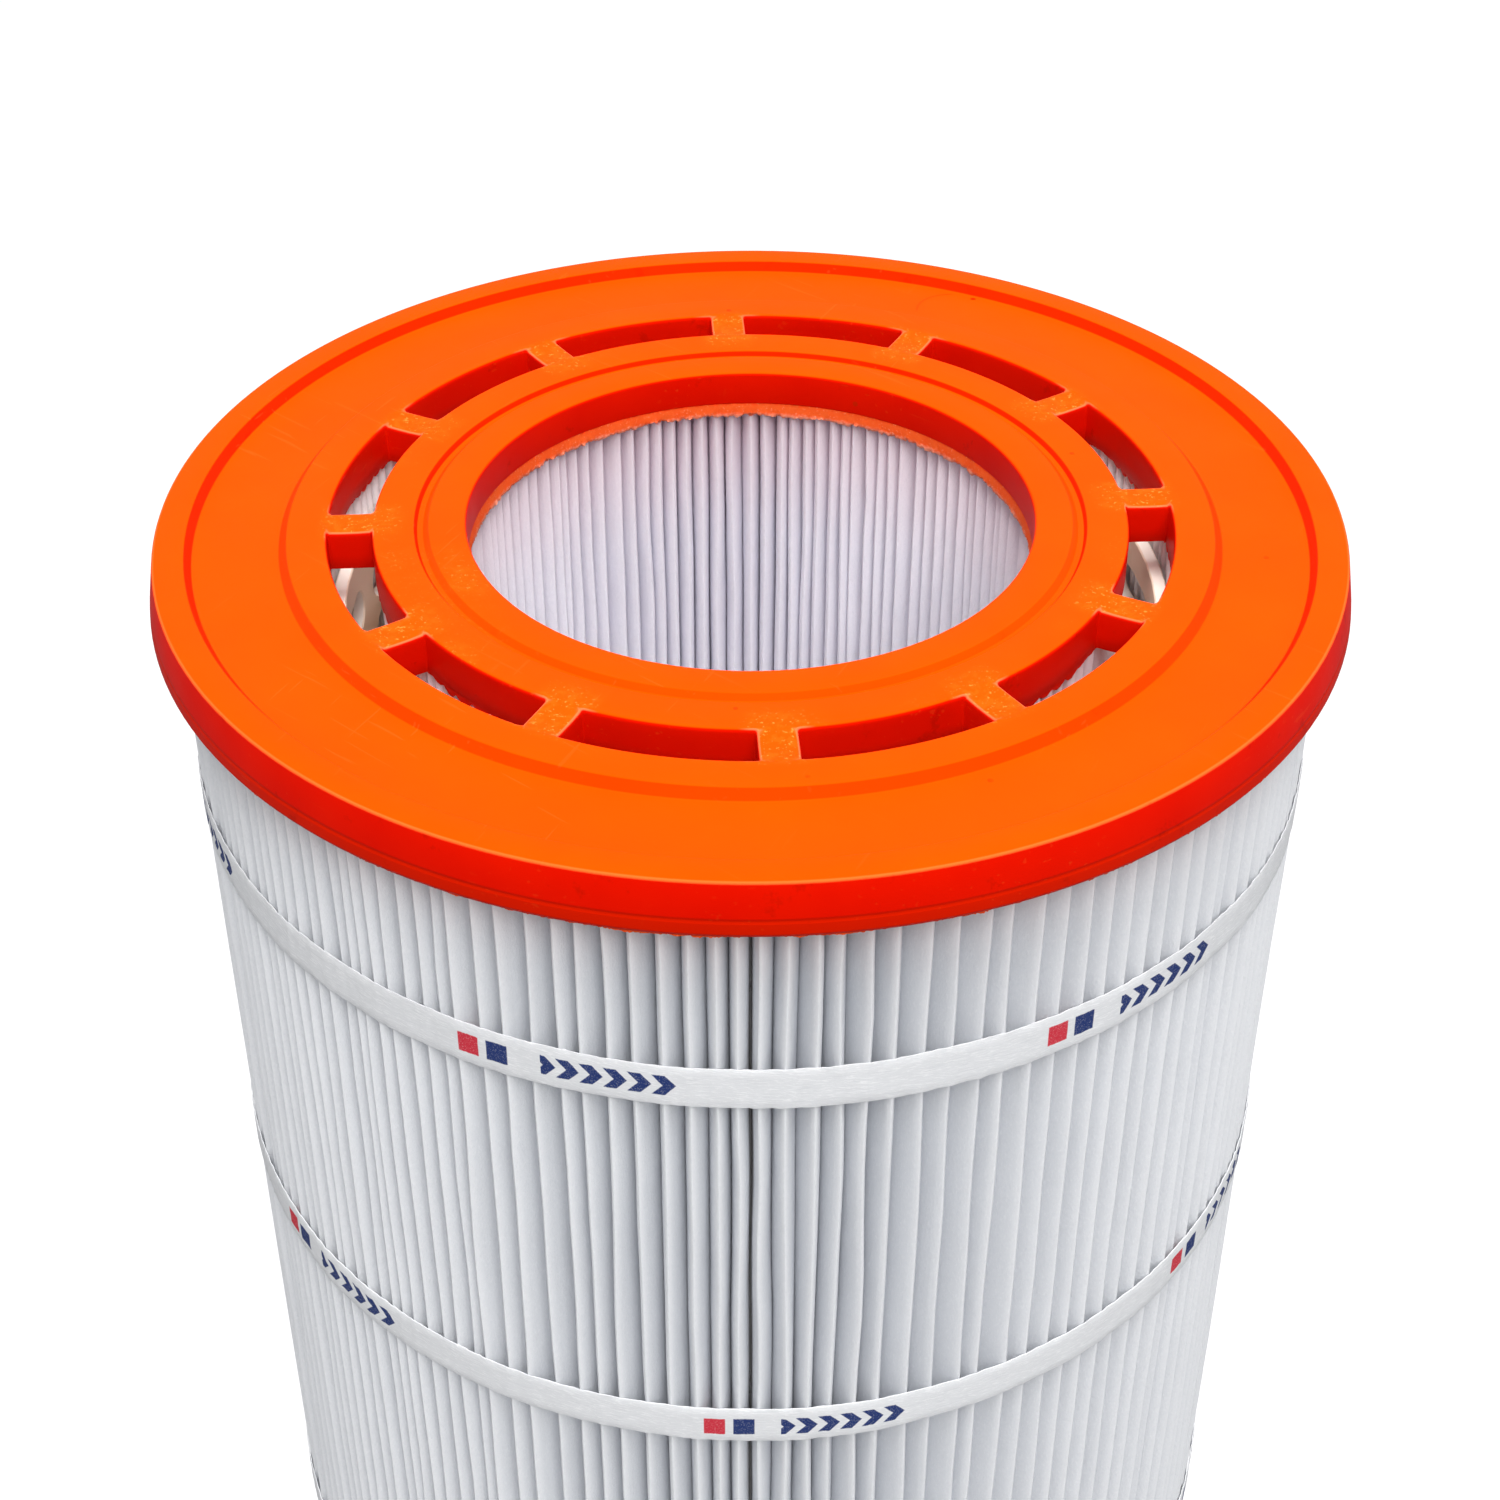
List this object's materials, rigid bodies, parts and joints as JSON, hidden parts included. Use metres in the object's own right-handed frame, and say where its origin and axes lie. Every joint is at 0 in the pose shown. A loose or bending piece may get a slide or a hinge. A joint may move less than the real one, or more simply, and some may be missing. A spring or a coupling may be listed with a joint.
{
  "type": "filter cartridge",
  "caption": "Pleated pool filter cartridge: concentric white fabric packs between orange cast end caps, open centre bore, ring of outlet windows and white retaining bands.",
  "frame": {"origin": "centre of the bottom face, on the axis of the centre bore", "axes": "+Z along the cartridge axis towards the windowed top cap, -Y towards the pleat seam at the front"},
  "size_m": [0.26, 0.26, 0.505],
  "materials": {
    "cap_polyurethane": "satin cast polyurethane",
    "pleat_fabric": "spunbonded polyester, calendered",
    "band_fabric": null,
    "core_plastic": "cream moulded plastic",
    "seam_glue": "hot-melt adhesive"
  },
  "bodies": {
    "root": {"top_end_cap": "cap_polyurethane", "bottom_end_cap": "cap_polyurethane", "outer_pleat_pack": "pleat_fabric", "inner_pleat_pack": "pleat_fabric", "outer_seam_strip": "seam_glue", "inner_seam_strip": "seam_glue", "outer_core": "core_plastic", "inner_core": "core_plastic", "retaining_band_1": "band_fabric", "retaining_band_2": "band_fabric", "retaining_band_3": "band_fabric", "retaining_band_4": "band_fabric"}
  },
  "joints": []
}
